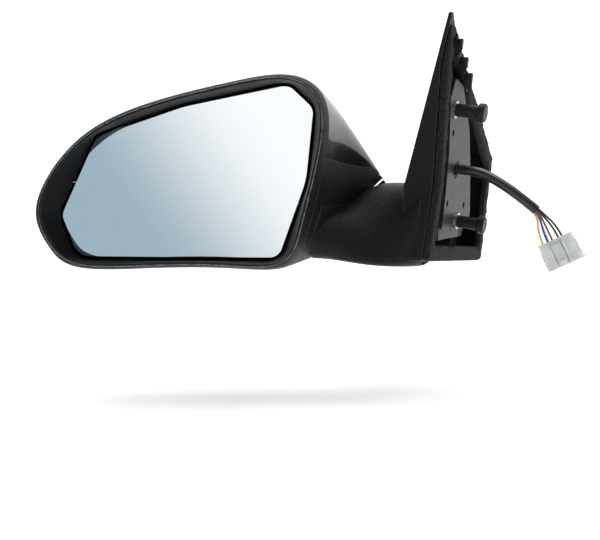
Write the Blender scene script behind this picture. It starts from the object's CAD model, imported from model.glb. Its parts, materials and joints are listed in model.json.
import json
import math

import bmesh
import bpy
from mathutils import Matrix, Vector, noise
from mathutils.bvhtree import BVHTree


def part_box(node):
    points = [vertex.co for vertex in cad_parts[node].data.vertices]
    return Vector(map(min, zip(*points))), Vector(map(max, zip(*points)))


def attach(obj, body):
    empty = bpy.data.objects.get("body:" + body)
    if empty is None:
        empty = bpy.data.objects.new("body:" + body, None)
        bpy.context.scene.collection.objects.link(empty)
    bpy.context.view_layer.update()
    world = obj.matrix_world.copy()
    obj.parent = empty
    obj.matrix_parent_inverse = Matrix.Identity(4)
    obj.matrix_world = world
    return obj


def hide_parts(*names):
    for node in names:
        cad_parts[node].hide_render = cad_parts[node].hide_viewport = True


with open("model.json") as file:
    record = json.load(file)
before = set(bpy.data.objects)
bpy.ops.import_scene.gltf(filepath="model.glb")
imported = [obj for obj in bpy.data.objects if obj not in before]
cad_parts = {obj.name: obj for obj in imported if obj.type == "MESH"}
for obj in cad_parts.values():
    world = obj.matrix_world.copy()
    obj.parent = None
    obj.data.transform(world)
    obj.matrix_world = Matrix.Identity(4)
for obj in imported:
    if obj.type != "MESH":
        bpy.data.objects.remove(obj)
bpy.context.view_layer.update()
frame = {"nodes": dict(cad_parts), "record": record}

MM = 0.001
scene = bpy.context.scene
nodes = frame["nodes"]
record_slots = {part["node"]: part["material_slot"] for part in frame["record"]["subparts"]}

# The head's own frame: T runs inboard along the glass and D forward, both level.
HEAD_ORIGIN = Vector((16.2, -71.8, 0)) * MM
T_AXIS = Vector((0.95372, 0.30071, 0))
D_AXIS = Vector((-0.30071, 0.95372, 0))


def add_object(name, data):
    """A new object in the scene."""
    piece = bpy.data.objects.new(name, data)
    scene.collection.objects.link(piece)
    return piece


def mesh_object(name, mesh):
    """A new object with the mesh that was built, which is then freed."""
    data = bpy.data.meshes.new(name)
    mesh.to_mesh(data)
    mesh.free()
    return add_object(name, data)


def round_curve(name, kind, points, radius_mm, rings):
    """A curve of one spline with a round section: the new object and its spline."""
    curve = bpy.data.curves.new(name, "CURVE")
    curve.dimensions = "3D"
    curve.bevel_depth = radius_mm * MM
    curve.bevel_resolution = rings
    curve.use_fill_caps = True
    spline = curve.splines.new(kind)
    spline.points.add(len(points) - 1)
    for spline_point, point in zip(spline.points, points):
        spline_point.co = (*point, 1.0)
    return add_object(name, curve), spline


def ray_tree(node):
    """The tree that finds where a ray meets a CAD node."""
    data = nodes[node].data
    places = [vertex.co for vertex in data.vertices]
    return BVHTree.FromPolygons(places, [tuple(face.vertices) for face in data.polygons])


def head_point(t_mm, z_mm, depth):
    """A place in the head's frame, its depth along D in metres."""
    return HEAD_ORIGIN + T_AXIS * t_mm * MM + D_AXIS * depth + Vector((0, 0, z_mm * MM))


# ---------------------------------------------------------------- camera
# The camera stands at the height of the glass and looks a little downwards, which puts the
# mirror in the upper half of the picture, as in the photograph.
CAMERA_PLACE = (0.2105, -0.7999, -0.0012)
CAMERA_AZIMUTH, CAMERA_ELEVATION = 22.786, 4.746
camera_data = bpy.data.cameras.new("camera")
camera_data.sensor_width = 36.0
camera_data.lens = 67.6
camera_data.clip_start = 0.01
camera = add_object("camera", camera_data)
camera.location = CAMERA_PLACE
camera.rotation_euler = (math.radians(90 - CAMERA_ELEVATION), 0, math.radians(CAMERA_AZIMUTH))
scene.camera = camera


# ---------------------------------------------------------------- material nodes
class Surface:
    """One node material, built up step by step."""

    def __init__(self, name, colour, roughness, metallic=0.0):
        self.material = bpy.data.materials.new(name)
        self.material.use_nodes = True
        self.tree = self.material.node_tree
        self.shader = self.tree.nodes["Principled BSDF"]
        self.place = self.add("ShaderNodeTexCoord").outputs["Object"]
        self.set("Base Color", (*colour, 1.0))
        self.set("Roughness", roughness)
        self.set("Metallic", metallic)

    def add(self, kind, **values):
        node = self.tree.nodes.new(kind)
        for key, value in values.items():
            setattr(node, key, value)
        return node

    def set(self, socket, value):
        self.shader.inputs[socket].default_value = value

    def feed(self, socket, output):
        self.tree.links.new(output, self.shader.inputs[socket])

    def noise(self, size_mm, detail=3.0, roughness=0.55, stretch=None):
        node = self.add("ShaderNodeTexNoise")
        node.inputs["Scale"].default_value = 1.0 / (size_mm * MM)
        node.inputs["Detail"].default_value = detail
        node.inputs["Roughness"].default_value = roughness
        self.tree.links.new(self.stretched(stretch), node.inputs["Vector"])
        return node.outputs[0]

    def stretched(self, stretch):
        if stretch is None:
            return self.place
        node = self.add("ShaderNodeMapping")
        node.inputs["Scale"].default_value = stretch
        self.tree.links.new(self.place, node.inputs["Vector"])
        return node.outputs[0]

    def cells(self, size_mm, feature="F1"):
        node = self.add("ShaderNodeTexVoronoi", feature=feature)
        node.inputs["Scale"].default_value = 1.0 / (size_mm * MM)
        self.tree.links.new(self.place, node.inputs["Vector"])
        return node.outputs[0]

    def span(self, value, low, high, to_low, to_high):
        node = self.add("ShaderNodeMapRange", interpolation_type="SMOOTHSTEP")
        self.tree.links.new(value, node.inputs["Value"])
        limits = {"From Min": low, "From Max": high, "To Min": to_low, "To Max": to_high}
        for name, number in limits.items():
            node.inputs[name].default_value = number
        return node.outputs[0]

    def mask(self, value, low, high):
        """0 up to low and 1 from high on."""
        return self.span(value, low, high, 0.0, 1.0)

    def maths(self, operation, a, b):
        node = self.add("ShaderNodeMath", operation=operation)
        for index, value in enumerate((a, b)):
            if isinstance(value, (int, float)):
                node.inputs[index].default_value = value
            else:
                self.tree.links.new(value, node.inputs[index])
        return node.outputs[0]

    def blend(self, factor, colour_a, colour_b):
        node = self.add("ShaderNodeMix", data_type="RGBA")
        self.tree.links.new(factor, node.inputs["Factor"])
        for name, colour in (("A", colour_a), ("B", colour_b)):
            socket = [s for s in node.inputs if s.name == name and s.type == "RGBA"][0]
            if isinstance(colour, tuple):
                socket.default_value = (*colour, 1.0)
            else:
                self.tree.links.new(colour, socket)
        return [s for s in node.outputs if s.type == "RGBA"][0]

    def along(self, direction):
        """The distance along a direction, in metres."""
        node = self.add("ShaderNodeVectorMath", operation="DOT_PRODUCT")
        self.tree.links.new(self.place, node.inputs[0])
        node.inputs[1].default_value = direction
        return node.outputs["Value"]

    def bump(self, height, depth_mm):
        node = self.add("ShaderNodeBump")
        node.inputs["Strength"].default_value = 1.0
        node.inputs["Distance"].default_value = depth_mm * MM
        self.tree.links.new(height, node.inputs["Height"])
        self.feed("Normal", node.outputs[0])

    def edges(self, radius_mm):
        """Near 1 on sharp outer and inner edges, 0 on open faces."""
        rounded = self.add("ShaderNodeBevel", samples=4)
        rounded.inputs["Radius"].default_value = radius_mm * MM
        flat = self.add("ShaderNodeNewGeometry")
        node = self.add("ShaderNodeVectorMath", operation="DOT_PRODUCT")
        self.tree.links.new(rounded.outputs[0], node.inputs[0])
        self.tree.links.new(flat.outputs["Normal"], node.inputs[1])
        return self.span(node.outputs["Value"], 0.7, 0.98, 1.0, 0.0)


def moulded(name, colour, roughness, grain_mm, depth_mm, edge_colour, edge_mm):
    """Textured moulded plastic: a pebbled grain, worn a little smoother along its edges."""
    s = Surface(name, colour, roughness)
    s.set("Specular IOR Level", 0.17)
    fine = s.maths("MULTIPLY", s.noise(grain_mm * 0.45), 0.8)
    grain = s.maths("ADD", s.cells(grain_mm, "SMOOTH_F1"), fine)
    cloud = s.noise(38, 4)
    worn = s.edges(edge_mm)
    lighter = tuple(c * 1.5 for c in colour)
    ground = s.blend(s.mask(cloud, 0.3, 0.7), colour, lighter)
    s.feed("Base Color", s.blend(worn, ground, edge_colour))
    uneven = s.maths("ADD", cloud, s.maths("MULTIPLY", grain, 0.3))
    rough = s.span(uneven, 0.4, 1.1, roughness - 0.07, roughness + 0.08)
    s.feed("Roughness", s.maths("SUBTRACT", rough, s.maths("MULTIPLY", worn, 0.12)))
    s.bump(grain, depth_mm)
    return s.material


def lacquered(name, colour):
    """Black paint under clear lacquer, with orange peel and faint dust."""
    s = Surface(name, colour, 0.22)
    s.set("Specular IOR Level", 0.1)
    s.set("Coat Weight", 0.5)
    s.set("Coat Roughness", 0.03)
    dust = s.noise(22, 5)
    s.feed("Base Color", s.blend(s.mask(dust, 0.45, 0.8), colour, (0.012, 0.012, 0.0125)))
    s.feed("Roughness", s.span(dust, 0.35, 0.75, 0.16, 0.3))
    s.bump(s.noise(4.5, 2), 0.03)
    return s.material


def smooth_plastic(name, colour, roughness, patch=1.25):
    """Plain moulded plastic with slight flow marks, in places patch times lighter."""
    s = Surface(name, colour, roughness)
    flow = s.noise(14, 4, stretch=(1, 1, 0.35))
    other = tuple(min(1.0, c * patch) for c in colour)
    s.feed("Base Color", s.blend(s.mask(flow, 0.3, 0.7), colour, other))
    s.feed("Roughness", s.span(flow, 0.25, 0.75, roughness - 0.06, roughness + 0.07))
    s.bump(s.noise(1.2), 0.02)
    return s


def metal(name, colour, roughness, brushed=None, tint=None):
    """Plated or bare metal, with fine scratches, stretched one way where it is brushed."""
    s = Surface(name, colour, roughness, 1.0)
    marks = s.noise(0.9, 5, 0.7, brushed)
    stain = s.noise(9, 4)
    other = tint or tuple(c * 0.7 for c in colour)
    s.feed("Base Color", s.blend(s.mask(stain, 0.35, 0.7), colour, other))
    s.feed("Roughness", s.span(marks, 0.3, 0.7, roughness - 0.08, roughness + 0.1))
    s.bump(marks, 0.02)
    return s.material


def coated_casting():
    """Die-cast alloy under a brown-black coating, rubbed lighter on its edges."""
    s = Surface("cast_alloy", (0.02, 0.017, 0.016), 0.45)
    s.set("Specular IOR Level", 0.25)
    skin = s.noise(1.1, 5, 0.65)
    cloud = s.noise(16, 4)
    body = s.blend(s.mask(cloud, 0.3, 0.7), (0.012, 0.0105, 0.01), (0.028, 0.023, 0.021))
    rubbed = s.edges(0.5)
    s.feed("Base Color", s.blend(rubbed, body, (0.09, 0.08, 0.072)))
    s.feed("Roughness", s.span(skin, 0.3, 0.7, 0.34, 0.52))
    s.bump(skin, 0.12)
    return s.material


GRADIENT_WAY = Vector((0.78, 0.24, 0.58)).normalized()
GRADIENT_START, GRADIENT_LENGTH = -0.052, 0.118    # from the middle of the glass, metres


def mirror_glass():
    """A silvered blue-tinted glass that brightens from its lower outboard corner."""
    s = Surface("mirror", (0.8, 0.85, 0.87), 0.02, 1.0)
    glass_low, glass_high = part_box("mirror_glass")
    middle = (glass_low + glass_high) / 2
    start = middle.dot(GRADIENT_WAY) + GRADIENT_START
    shade = s.mask(s.along(GRADIENT_WAY), start, start + GRADIENT_LENGTH)
    s.feed("Base Color", s.blend(shade, (0.345, 0.462, 0.528), (0.97, 0.985, 0.99)))
    smear = s.noise(30, 4)
    s.feed("Roughness", s.span(smear, 0.4, 0.8, 0.015, 0.045))
    return s.material


def clear_lens():
    """Clear moulded polycarbonate."""
    s = Surface("clear_lens", (0.96, 0.97, 0.98), 0.05)
    s.set("Transmission Weight", 0.92)
    s.set("IOR", 1.5)
    s.feed("Roughness", s.span(s.noise(18, 3), 0.3, 0.8, 0.03, 0.09))
    s.bump(s.noise(3.0, 2), 0.01)
    return s.material


GUIDE_RIB_PITCH = 1.6          # mm


def light_guide():
    """Frosted clear guide with fine upright ribs."""
    s = Surface("light_guide", (0.82, 0.84, 0.86), 0.28)
    s.set("Transmission Weight", 0.35)
    turns = s.maths("MULTIPLY", s.along(T_AXIS), 2 * math.pi / (GUIDE_RIB_PITCH * MM))
    ribs = s.maths("SINE", turns, 0)
    s.feed("Base Color", s.blend(s.mask(ribs, -0.6, 0.9), (0.42, 0.43, 0.45), (0.93, 0.94, 0.95)))
    s.bump(ribs, 0.5)
    return s.material


def foam():
    """Open-cell foam."""
    s = Surface("foam", (0.014, 0.014, 0.015), 0.95)
    s.set("Specular IOR Level", 0.1)
    pores = s.cells(0.9)
    coarse = s.noise(2.6, 4)
    depth = s.mask(pores, 0.15, 0.6)
    s.feed("Base Color", s.blend(depth, (0.002, 0.002, 0.002), (0.022, 0.022, 0.023)))
    s.feed("Roughness", s.span(coarse, 0.3, 0.7, 0.88, 1.0))
    s.bump(s.maths("ADD", pores, coarse), 0.5)
    s.set("Sheen Weight", 0.06)
    return s.material


def rubbery(name, colour, roughness, gloss_coat=0.0):
    """Vinyl or rubber, with a soft uneven surface."""
    s = Surface(name, colour, roughness)
    wave = s.noise(5, 3)
    other = tuple(min(1.0, c * 1.35 + 0.002) for c in colour)
    s.feed("Base Color", s.blend(s.mask(wave, 0.3, 0.7), colour, other))
    s.feed("Roughness", s.span(wave, 0.25, 0.75, roughness - 0.05, roughness + 0.08))
    s.set("Coat Weight", gloss_coat)
    s.set("Coat Roughness", 0.18)
    s.bump(s.noise(0.8, 3), 0.04)
    return s.material


def milky():
    """Natural translucent nylon."""
    s = smooth_plastic("milky_plastic", (0.80, 0.815, 0.81), 0.34, patch=1.06)
    s.set("Transmission Weight", 0.3)
    s.set("Subsurface Weight", 0.25)
    s.set("Subsurface Radius", (0.004, 0.004, 0.004))
    s.set("IOR", 1.5)
    return s.material


def board():
    """Circuit board with fine copper tracks."""
    s = Surface("board_green", (0.02, 0.09, 0.04), 0.4)
    tracks = s.cells(2.2, "DISTANCE_TO_EDGE")
    ground = s.mask(tracks, 0.05, 0.12)
    s.feed("Base Color", s.blend(ground, (0.06, 0.2, 0.08), (0.015, 0.075, 0.035)))
    s.feed("Roughness", s.span(tracks, 0.02, 0.3, 0.3, 0.45))
    s.bump(tracks, 0.05)
    return s.material


finishes = {
    "textured_black": moulded("textured_black", (0.0045, 0.0045, 0.0048), 0.44, 1.15, 0.42,
                              (0.1, 0.102, 0.106), 0.8),
    "gloss_black": lacquered("gloss_black", (0.0035, 0.0035, 0.004)),
    "clear_lens": clear_lens(),
    "light_guide": light_guide(),
    "lamp_chrome": metal("lamp_chrome", (0.82, 0.83, 0.85), 0.14),
    "board_green": board(),
    "mirror": mirror_glass(),
    "heater_film": smooth_plastic("heater_film", (0.42, 0.2, 0.06), 0.5).material,
    "inner_plastic": moulded("inner_plastic", (0.008, 0.008, 0.0085), 0.4, 1.1, 0.05,
                             (0.04, 0.04, 0.042), 0.3),
    "grey_plastic": smooth_plastic("grey_plastic", (0.18, 0.18, 0.19), 0.5).material,
    "nylon": smooth_plastic("nylon", (0.66, 0.63, 0.56), 0.45).material,
    "cast_alloy": coated_casting(),
    "zinc_steel": metal("zinc_steel", (0.6, 0.61, 0.6), 0.3, (1, 1, 0.2), (0.5, 0.47, 0.36)),
    "spring_steel": metal("spring_steel", (0.26, 0.26, 0.27), 0.34),
    "foam": foam(),
    "rubber": rubbery("rubber", (0.014, 0.014, 0.014), 0.6),
    "sleeve": rubbery("sleeve", (0.003, 0.003, 0.0035), 0.3, 0.3),
    "wire_yellow": rubbery("wire_yellow", (0.72, 0.47, 0.03), 0.35, 0.4),
    "wire_blue": rubbery("wire_blue", (0.02, 0.075, 0.36), 0.35, 0.4),
    "wire_brown": rubbery("wire_brown", (0.16, 0.045, 0.025), 0.35, 0.4),
    "wire_white": rubbery("wire_white", (0.75, 0.75, 0.71), 0.35, 0.4),
    "wire_black": rubbery("wire_black", (0.008, 0.008, 0.009), 0.35, 0.4),
    "milky_plastic": milky(),
    "tin": metal("tin", (0.66, 0.63, 0.58), 0.28),
}
for name, node in nodes.items():
    node.data.materials.clear()
    node.data.materials.append(finishes[record_slots[name]])


def fit(piece, body, slot):
    """Gives a new piece its finish and the body it rides on."""
    piece.data.materials.append(finishes[slot])
    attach(piece, body)


# ---------------------------------------------------------------- lamp backing
BACKING_LENGTH = 0.012         # how far it runs inboard from the lamp's outboard end, metres
INSIDE_STEP, INSIDE_Y = 0.05, -0.06    # a point well inside the head, metres
INNER_FACING = 0.35            # a lens face that looks at that point by this much is an inner one
BACKING_GAP, BACKING_WALL = 0.25, 0.5  # mm
BACKING_HEIGHT = 1.03          # its height as a share of the lens's, which closes the joints


def lamp_backing():
    """The black end of the lamp's case, close behind the outboard end of the lens."""
    end_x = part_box("lamp_housing")[0].x + BACKING_LENGTH
    low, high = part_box("lamp_lens")
    middle_z = (low.z + high.z) / 2
    inside = Vector((end_x + INSIDE_STEP, INSIDE_Y, middle_z))
    mesh = bmesh.new()
    mesh.from_mesh(nodes["lamp_lens"].data)
    bmesh.ops.remove_doubles(mesh, verts=mesh.verts, dist=1e-6)
    mesh.normal_update()
    drop = []
    for face in mesh.faces:
        centre = face.calc_center_median()
        facing = face.normal.dot((inside - centre).normalized())
        if centre.x > end_x or facing < INNER_FACING:
            drop.append(face)
    bmesh.ops.delete(mesh, geom=drop, context="FACES")
    mesh.normal_update()
    for vert in mesh.verts:
        vert.co += vert.normal * BACKING_GAP * MM
        vert.co.z = middle_z + (vert.co.z - middle_z) * BACKING_HEIGHT
    piece = mesh_object("lamp_backing", mesh)
    wall = piece.modifiers.new("wall", "SOLIDIFY")
    wall.thickness = BACKING_WALL * MM
    wall.offset = 1.0
    fit(piece, "head", "inner_plastic")


lamp_backing()


# ---------------------------------------------------------------- lamp optics
PROBE_STEP = 0.25              # spacing of the rays that feel for a surface, mm
LAMP_RAY_START, LAMP_RAY = 0.2, 0.25   # from in front of the head backwards, metres
LAMP_T = (-247.0, -163.0)      # the optics' outboard and inboard ends, mm
LAMP_ROWS = range(-160, 20)    # heights to probe for the strip, in probe steps
LEAST_ROWS = 12                # the strip has ended where fewer rays than this meet it
STRIP_MARGIN = 1.0             # how far the optics keep from the strip's edges, mm
RIB_PITCH, RIB_HALF_WIDTH = 1.7, 0.6
GUIDE_DEPTH, RIB_TOP_DEPTH = 3.95, 2.95    # below the lens's outer face, mm
RIB_FOOT = 0.44                # where the ribs start, as a share of the strip's height
RIB_SECTIONS = 7
LINE_HEIGHTS = (0.1, 0.3)      # of the two bright lines, as shares of the strip's height
LINE_RISE, LINE_RADIUS = 0.35, 0.5         # mm
LEVEL_FACE = 0.9               # a face whose normal is nearer upright than this isn't the front


def lamp_optics():
    """Fine ribs in the upper part of the strip and two bright lines along its lower part."""
    tree = ray_tree("lamp_lens")

    def surface(t, z):
        place, normal, _, _ = tree.ray_cast(head_point(t, z, LAMP_RAY_START), -D_AXIS, LAMP_RAY)
        if place is None or abs(normal.z) > LEVEL_FACE:
            return None
        return place, (normal if normal.dot(D_AXIS) > 0 else -normal)

    def band(t):
        hits = [row * PROBE_STEP for row in LAMP_ROWS if surface(t, row * PROBE_STEP)]
        if len(hits) <= LEAST_ROWS:
            return None
        return min(hits) + STRIP_MARGIN, max(hits) - STRIP_MARGIN

    mesh = bmesh.new()
    lines = ([], [])
    for i in range(int((LAMP_T[1] - LAMP_T[0]) / RIB_PITCH) + 1):
        t = LAMP_T[0] + i * RIB_PITCH
        span = band(t)
        if span is None:
            continue
        low, high = span
        for share, line in zip(LINE_HEIGHTS, lines):
            hit = surface(t, low + (high - low) * share)
            if hit:
                line.append(hit[0] - hit[1] * (GUIDE_DEPTH - LINE_RISE) * MM)
        previous = None
        for k in range(RIB_SECTIONS):
            share = RIB_FOOT + (1 - RIB_FOOT) * k / (RIB_SECTIONS - 1)
            hit = surface(t, low + (high - low) * share)
            if hit is None:
                continue
            place, normal = hit
            across = normal.cross(Vector((0, 0, 1))).normalized() * RIB_HALF_WIDTH * MM
            base, crest = place - normal * GUIDE_DEPTH * MM, place - normal * RIB_TOP_DEPTH * MM
            ring = [mesh.verts.new(v) for v in (base - across, crest, base + across)]
            if previous:
                for a in range(3):
                    b = (a + 1) % 3
                    mesh.faces.new((previous[a], previous[b], ring[b], ring[a]))
            else:
                mesh.faces.new(ring)
            previous = ring
        if previous:
            mesh.faces.new(previous)
    bmesh.ops.recalc_face_normals(mesh, faces=mesh.faces)
    fit(mesh_object("lamp_ribs", mesh), "head", "lamp_chrome")
    for number, points in enumerate(lines, 1):
        line, _ = round_curve(f"lamp_line_{number}", "POLY", points, LINE_RADIUS, rings=3)
        fit(line, "head", "lamp_chrome")


lamp_optics()


# ---------------------------------------------------------------- rim
RIM_MIDDLE = (-181.0, -5.0)    # t and z of the middle of the rim, mm
RIM_STEPS = 300
RIM_RAY_START, RIM_RAY = -0.1, 0.16    # from behind the head forwards, metres
RIM_REACH = range(180, 440)    # distances from the middle to probe, in probe steps
CREST_BAND = 0.25              # how far below the nearest point the crest's outer side lies, mm
SMOOTHING = 4                  # neighbours on each side that steady the line
BEAD_RADIUS, BEAD_SINK = 0.4, 0.15     # mm


def rubbed_rim():
    """The crest of the rim, rubbed smooth and lighter where hands and cloths pass over it."""
    s = Surface("rubbed_rim", (0.07, 0.072, 0.076), 0.3)
    patch = s.noise(3.2, 4)
    shade = s.mask(patch, 0.3, 0.7)
    s.feed("Base Color", s.blend(shade, (0.045, 0.046, 0.05), (0.2, 0.205, 0.215)))
    s.feed("Roughness", s.span(patch, 0.3, 0.7, 0.25, 0.42))
    s.bump(s.cells(1.0), 0.12)
    return s.material


def crest_point(tree, turn):
    """Where the bezel stands nearest the driver, along one ray out from the rim's middle."""
    hits = []
    for reach in RIM_REACH:
        t = RIM_MIDDLE[0] + math.cos(turn) * reach * PROBE_STEP
        z = RIM_MIDDLE[1] + math.sin(turn) * reach * PROBE_STEP
        place = tree.ray_cast(head_point(t, z, RIM_RAY_START), D_AXIS, RIM_RAY)[0]
        if place is not None:
            hits.append(((place - HEAD_ORIGIN).dot(D_AXIS), place))
    nearest = min(depth for depth, _ in hits)
    return [place for depth, place in hits if depth < nearest + CREST_BAND * MM][-1]


def rim_crest():
    """A fine bead along the line of the bezel that stands nearest the driver."""
    tree = ray_tree("rear_bezel")
    crest = [crest_point(tree, 2 * math.pi * step / RIM_STEPS) for step in range(RIM_STEPS)]
    around = range(-SMOOTHING, SMOOTHING + 1)
    smooth = []
    for i in range(RIM_STEPS):
        total = sum((crest[(i + k) % RIM_STEPS] for k in around), Vector())
        smooth.append(total / len(around) + D_AXIS * BEAD_SINK * MM)
    bead, spline = round_curve("rim_crest", "POLY", smooth, BEAD_RADIUS, rings=3)
    spline.use_cyclic_u = True
    bead.data.materials.append(rubbed_rim())
    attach(bead, "head")


rim_crest()


# ---------------------------------------------------------------- foam gasket
FOAM_VOXEL = 1.9               # mm
FOAM_WAVES = ((160, 0.5), (520, 0.35))     # waves a metre, and their depth in mm


def foam_gasket():
    """The die-cut foam band, with soft edges and an uneven cut."""
    data = nodes["door_gasket"].data.copy()
    data.materials.clear()
    piece = add_object("foam_gasket", data)
    shape = piece.modifiers.new("shape", "REMESH")
    shape.mode = "VOXEL"
    shape.voxel_size = FOAM_VOXEL * MM
    soft = piece.modifiers.new("soft", "SMOOTH")
    soft.factor = 0.5
    soft.iterations = 2
    bpy.context.view_layer.update()
    depsgraph = bpy.context.evaluated_depsgraph_get()
    solid = bpy.data.meshes.new_from_object(piece.evaluated_get(depsgraph))
    piece.modifiers.clear()
    piece.data = solid
    solid.materials.clear()
    for vert in solid.vertices:
        wave = sum(noise.noise(vert.co * pitch) * depth for pitch, depth in FOAM_WAVES)
        vert.co = vert.co + vert.normal * wave * MM
    for face in solid.polygons:
        face.use_smooth = True
    fit(piece, "base", "foam")
    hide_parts("door_gasket")


foam_gasket()


# ---------------------------------------------------------------- harness
# Routes are the centrelines of the loom sleeve and of the wires that leave it, in millimetres.
LOOM_Y = -12.0
SLEEVE_POINTS = [(-4.46, 4.16), (8, 3.6), (22, 0.4), (41.5, -11.2), (58.3, -24.8)]    # x and z
SLEEVE_LENGTH, SLEEVE_D = 71.0, 7.0
WIRE_D = 1.5
WIRE_INSET, WIRE_LEAD = 8.5, 2         # a wire's start inside the sleeve and its straight lead out
PLUG_LEAD, PLUG_SEAT = 16.5, 7.5       # its last straight stretch and its end in the connector
# The end of the sleeve: its place, its direction and the two directions across it.
SLEEVE_END = Vector((58.3, LOOM_Y, -24.8))
ALONG = Vector((0.777, 0, -0.629))
NORMAL = Vector((-0.629, 0, -0.777))
SIDE = Vector((0, 1, 0))
PLUG = Matrix.Translation((75.7, LOOM_Y, -52.8)) @ Matrix.Rotation(math.radians(-26.1), 4, "Y")
# name: (hole in the connector), (place in the sleeve's end), length
WIRES = {
    "wire_yellow": ((-9, -2.6), (1.294, -0.94), 33.9),
    "wire_blue": ((-5.4, -2.6), (0, 0), 34.1),
    "wire_brown": ((-1.8, -2.6), (-0.494, -1.522), 34.1),
    "wire_white": ((-5.4, 2.6), (1.294, 0.94), 33.4),
    "wire_black_a": ((5.4, -2.6), (-1.6, 0), 36.0),
    "wire_black_b": ((1.8, 2.6), (-0.494, 1.522), 34.6),
}


def cord_curve(name, points_mm, diameter_mm):
    """A round cord whose centreline has the route's own points as its control points."""
    points = [Vector(point) * MM for point in points_mm]
    piece, spline = round_curve(name, "NURBS", points, diameter_mm / 2, rings=6)
    spline.order_u = 3
    spline.use_endpoint_u = True
    spline.resolution_u = 16
    return piece


sleeve_route = [Vector((x, LOOM_Y, z)) for x, z in SLEEVE_POINTS]
sleeve = cord_curve("loom_sleeve", sleeve_route, SLEEVE_D)
fit(sleeve, "base", "sleeve")
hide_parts("harness_sleeve")
for name, (hole, spot, length) in WIRES.items():
    offset = NORMAL * spot[0] + SIDE * spot[1]
    route = [SLEEVE_END - ALONG * WIRE_INSET + offset, SLEEVE_END + ALONG * WIRE_LEAD + offset,
             PLUG @ Vector((*hole, PLUG_LEAD)), PLUG @ Vector((*hole, PLUG_SEAT))]
    wire = cord_curve("loom_" + name, route, WIRE_D)
    fit(wire, "base", record_slots[name])
    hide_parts(name)


# ---------------------------------------------------------------- floor and light
FLOOR_Z = -0.16
BACK_Y, FRONT_Y, HALF_WIDTH, BEND, TOP_Z = 2.2, -0.78, 4.5, 0.9, 3.5
BEND_STEPS = 12
PAPER_GLOW = 0.34


def backdrop():
    """One seamless pale sheet: the floor, a wide bend and the wall behind."""
    profile = [(FRONT_Y, FLOOR_Z)]
    for step in range(BEND_STEPS + 1):
        turn = math.radians(90 * step / BEND_STEPS)
        y = BACK_Y - BEND + BEND * math.sin(turn)
        profile.append((y, FLOOR_Z + BEND * (1 - math.cos(turn))))
    profile.append((BACK_Y, TOP_Z))
    mesh = bmesh.new()
    left, right = ([mesh.verts.new((x, y, z)) for y, z in profile]
                   for x in (-HALF_WIDTH, HALF_WIDTH))
    for i in range(len(profile) - 1):
        mesh.faces.new((left[i], right[i], right[i + 1], left[i + 1])).smooth = True
    sheet = mesh_object("backdrop", mesh)
    paper = Surface("backdrop_paper", (0.9, 0.9, 0.9), 0.9)
    paper.feed("Roughness", paper.span(paper.noise(4), 0.3, 0.7, 0.85, 0.95))
    paper.set("Emission Color", (1.0, 1.0, 1.0, 1.0))
    paper.set("Emission Strength", PAPER_GLOW)
    sheet.data.materials.append(paper.material)


backdrop()


def softbox(name, place, target, width, height, power):
    """A rectangular light that faces its target, with its power in watts."""
    data = bpy.data.lights.new(name, "AREA")
    data.shape = "RECTANGLE"
    data.size, data.size_y = width, height
    data.energy = power
    light = add_object(name, data)
    light.location = place
    aim = Vector(target) - Vector(place)
    light.rotation_euler = aim.to_track_quat("-Z", "Y").to_euler()


CENTRE = (-0.09, -0.06, 0.0)
softbox("top", (-0.1, -0.2, 1.6), CENTRE, 1.6, 1.0, 15)
softbox("left", (-1.7, -0.7, 0.7), CENTRE, 0.4, 1.4, 5)
softbox("right", (1.5, -0.3, 0.5), CENTRE, 0.3, 1.2, 3)
softbox("wall", (0, 0.6, 2.6), (0, 1.8, 0.2), 3.0, 1.0, 40)

# Even, dim surroundings with one soft bright patch, which the glass reflects.
SKY_COLOUR = (0.97, 0.985, 1.0, 1.0)
PATCH_TURN = math.radians(6.7)
PATCH = {"From Min": 0.86, "From Max": 0.975, "To Min": 0.2, "To Max": 1.0}


def surroundings():
    """The world's light, brightest towards the patch."""
    world = bpy.data.worlds.new("studio")
    scene.world = world
    world.use_nodes = True
    sky = world.node_tree
    ambient = sky.nodes["Background"]
    ambient.inputs["Color"].default_value = SKY_COLOUR
    direction = sky.nodes.new("ShaderNodeTexCoord").outputs["Generated"]
    facing = sky.nodes.new("ShaderNodeVectorMath")
    facing.operation = "DOT_PRODUCT"
    facing.inputs[1].default_value = (math.sin(PATCH_TURN), -math.cos(PATCH_TURN), 0.0)
    sky.links.new(direction, facing.inputs[0])
    glow = sky.nodes.new("ShaderNodeMapRange")
    glow.interpolation_type = "SMOOTHSTEP"
    for name, number in PATCH.items():
        glow.inputs[name].default_value = number
    sky.links.new(facing.outputs["Value"], glow.inputs["Value"])
    sky.links.new(glow.outputs[0], ambient.inputs["Strength"])


surroundings()
scene.view_settings.view_transform = "Standard"
